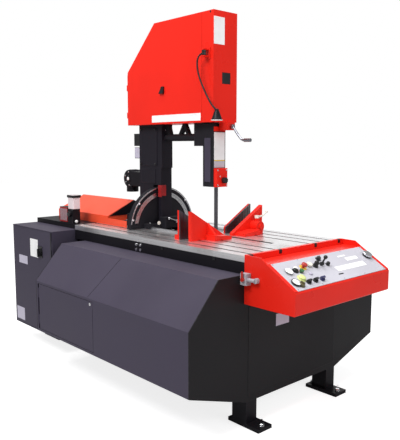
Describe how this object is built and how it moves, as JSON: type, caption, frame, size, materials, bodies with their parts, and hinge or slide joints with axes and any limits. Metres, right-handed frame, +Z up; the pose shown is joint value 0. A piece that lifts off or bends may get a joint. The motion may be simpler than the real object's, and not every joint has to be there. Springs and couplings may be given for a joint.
{
  "type": "vertical tilt-frame band saw",
  "caption": "Industrial vertical band saw: a tilting column and head carry the blade and feed along a slotted steel table on a faceted base, with vises and a sloping control console.",
  "frame": {"origin": "on the floor, under the middle of the machine", "axes": "+X from the rear cabinet to the control console, +Y to the side away from the access door, +Z up"},
  "size_m": [2.612, 1.604, 2.305],
  "materials": {
    "charcoal_paint": "satin",
    "black_paint": "satin",
    "red_paint": "gloss",
    "machined_iron": "ground",
    "black_casting": "painted",
    "bright_steel": "brushed",
    "blade_steel": "ground",
    "panel_grey": "satin",
    "black_plastic": "satin",
    "white_plastic": "gloss",
    "tank_plastic": "translucent",
    "green_plastic": "gloss",
    "red_plastic": "gloss",
    "navy_plastic": "gloss",
    "grey_metal": "satin"
  },
  "bodies": {
    "base": {"hull_side_left": "charcoal_paint", "hull_side_right": "charcoal_paint", "hull_floor": "black_paint", "hull_front": "charcoal_paint", "rear_frame": "black_paint", "rear_deck": "black_paint", "legs": "black_paint", "table_beams": "black_paint", "table_left": "machined_iron", "table_right": "machined_iron", "carriage_rails": "bright_steel", "cabinet_body": "charcoal_paint", "rear_cover": "red_paint", "feed_cylinder": "grey_metal", "lubricator_tank": "tank_plastic", "lubricator_pump": "black_paint", "console_housing": "red_paint", "console_panel": "panel_grey", "pressure_gauge": "black_plastic", "supply_valve": "grey_metal", "vise_fixed_left": "red_paint", "vise_fixed_right": "red_paint", "jaw_liners": "blade_steel"},
    "carriage": {"quadrant": "black_casting", "angle_scale": "bright_steel", "carriage_base": "black_casting", "feed_rod": "bright_steel"},
    "frame": {"column": "black_casting", "lower_frame": "black_casting", "head_housing": "red_paint", "saw_blade": "blade_steel", "drive_gearbox": "grey_metal", "drive_motor": "grey_metal", "guide_beam": "black_casting", "tilt_motor": "black_paint", "junction_boxes": "black_plastic"},
    "guide": {"guide_post": "black_casting", "guide_box": "red_paint"},
    "access_door_body": {"access_door": "charcoal_paint"},
    "door_lock_body": {"door_lock": "bright_steel"},
    "cabinet_door_body": {"cabinet_door": "charcoal_paint"},
    "isolator_switch_body": {"isolator_switch": "black_plastic"},
    "button_start_body": {"button_start": "green_plastic"},
    "button_stop_body": {"button_stop": "white_plastic"},
    "estop_button_body": {"estop_button": "red_plastic"},
    "selector_knob_1_body": {"selector_knob_1": "black_plastic"},
    "selector_knob_2_body": {"selector_knob_2": "black_plastic"},
    "speed_knob_body": {"speed_knob": "navy_plastic"},
    "feed_lever_body": {"feed_lever": "black_plastic"},
    "valve_handle_body": {"valve_handle": "red_plastic"},
    "vise_moving_left_body": {"vise_moving_left": "red_paint"},
    "vise_moving_right_body": {"vise_moving_right": "red_paint"},
    "clamp_lever_body": {"clamp_lever": "white_plastic"},
    "lock_lever_body": {"lock_lever": "bright_steel"},
    "head_door_body": {"head_door": "red_paint"},
    "crank_handle_body": {"crank_handle": "bright_steel"},
    "wheel_upper_body": {"wheel_upper": "machined_iron"},
    "wheel_lower_body": {"wheel_lower": "machined_iron"},
    "guide_knob_body": {"guide_knob": "black_plastic"},
    "work_lamp_body": {"work_lamp": "black_plastic"}
  },
  "joints": [
    {"name": "frame_feed", "type": "slide", "parent": "base", "child": "carriage", "axis": [1, 0, 0], "range_m": [0, 0.42]},
    {"name": "frame_tilt", "type": "hinge", "parent": "carriage", "child": "frame", "pos_m": [0, 0, 0.938], "axis": [1, 0, 0], "range_deg": [-45, 45]},
    {"name": "lower_wheel_spin", "type": "hinge", "parent": "frame", "child": "wheel_lower_body", "pos_m": [0.02, 0, 0.495], "axis": [0, 1, 0], "continuous": true},
    {"name": "upper_wheel_spin", "type": "hinge", "parent": "frame", "child": "wheel_upper_body", "pos_m": [0.02, 0, 1.965], "axis": [0, 1, 0], "continuous": true},
    {"name": "guide_height", "type": "slide", "parent": "frame", "child": "guide", "axis": [0, 0, 1], "range_m": [-0.1, 0.2]},
    {"name": "guide_knob_turn", "type": "hinge", "parent": "guide", "child": "guide_knob_body", "pos_m": [0.37585, 0.008, 1.287], "axis": [1, 0, 0], "range_deg": [-90, 90]},
    {"name": "crank_turn", "type": "hinge", "parent": "frame", "child": "crank_handle_body", "pos_m": [0.43385, 0.02, 1.619], "axis": [1, 0, 0], "continuous": true},
    {"name": "head_door_swing", "type": "hinge", "parent": "frame", "child": "head_door_body", "pos_m": [-0.48785, -0.094, 1.845], "axis": [0, 0, -1], "range_deg": [0, 90]},
    {"name": "lamp_swivel", "type": "hinge", "parent": "frame", "child": "work_lamp_body", "pos_m": [0.35185, -0.134, 2.055], "axis": [0, 0, 1], "range_deg": [-30, 0]},
    {"name": "lock_lever_turn", "type": "hinge", "parent": "carriage", "child": "lock_lever_body", "pos_m": [-0.09985, 0.026, 0.985], "axis": [1, 0, 0], "range_deg": [-60, 10]},
    {"name": "vise_left_slide", "type": "slide", "parent": "base", "child": "vise_moving_left_body", "axis": [1, 0, 0], "range_m": [-0.065, 0.35]},
    {"name": "vise_right_slide", "type": "slide", "parent": "base", "child": "vise_moving_right_body", "axis": [1, 0, 0], "range_m": [-0.065, 0.35]},
    {"name": "clamp_lever_turn", "type": "hinge", "parent": "vise_moving_right_body", "child": "clamp_lever_body", "pos_m": [0.468, 0.225, 1.038], "axis": [0, 0, 1], "range_deg": [-90, 8]},
    {"name": "access_door_swing", "type": "hinge", "parent": "base", "child": "access_door_body", "pos_m": [-0.543, -0.796, 0.43], "axis": [0, 0, -1], "range_deg": [0, 95]},
    {"name": "door_lock_turn", "type": "hinge", "parent": "access_door_body", "child": "door_lock_body", "pos_m": [0.089, -0.799, 0.578], "axis": [0, 1, 0], "range_deg": [0, 90]},
    {"name": "cabinet_door_swing", "type": "hinge", "parent": "base", "child": "cabinet_door_body", "pos_m": [-0.713, -0.598, 0.52], "axis": [0, 0, 1], "range_deg": [0, 90]},
    {"name": "isolator_turn", "type": "hinge", "parent": "cabinet_door_body", "child": "isolator_switch_body", "pos_m": [-0.88, -0.604, 0.735], "axis": [0, 1, 0], "range_deg": [0, 90]},
    {"name": "valve_handle_turn", "type": "hinge", "parent": "base", "child": "valve_handle_body", "pos_m": [0.994, -0.46, 0.824], "axis": [0, 1, 0], "range_deg": [0, 90]},
    {"name": "button_start_press", "type": "slide", "parent": "base", "child": "button_start_body", "axis": [-0.5145, 0, -0.8575], "range_m": [0, 0.005], "stiffness_N_per_m": 900, "springref_m": -0.003},
    {"name": "button_stop_press", "type": "slide", "parent": "base", "child": "button_stop_body", "axis": [-0.5145, 0, -0.8575], "range_m": [0, 0.005], "stiffness_N_per_m": 900, "springref_m": -0.003},
    {"name": "estop_button_press", "type": "slide", "parent": "base", "child": "estop_button_body", "axis": [-0.5145, 0, -0.8575], "range_m": [0, 0.005], "stiffness_N_per_m": 900, "springref_m": -0.003},
    {"name": "selector_knob_1_turn", "type": "hinge", "parent": "base", "child": "selector_knob_1_body", "pos_m": [1.26732, -0.27, 0.82711], "axis": [0.5145, 0, 0.8575], "range_deg": [-60, 60]},
    {"name": "selector_knob_2_turn", "type": "hinge", "parent": "base", "child": "selector_knob_2_body", "pos_m": [1.26732, -0.216, 0.82711], "axis": [0.5145, 0, 0.8575], "range_deg": [-60, 60]},
    {"name": "speed_knob_turn", "type": "hinge", "parent": "base", "child": "speed_knob_body", "pos_m": [1.26818, -0.161, 0.82659], "axis": [0.5145, 0, 0.8575], "range_deg": [-135, 135]},
    {"name": "feed_lever_tilt", "type": "hinge", "parent": "base", "child": "feed_lever_body", "pos_m": [1.19287, -0.062, 0.88379], "axis": [0, 1, 0], "range_deg": [-18, 18], "stiffness_Nm_per_rad": 1.5}
  ],
  "couplings": [
    {"joint": "upper_wheel_spin", "follows": "lower_wheel_spin", "ratio": 1}
  ]
}
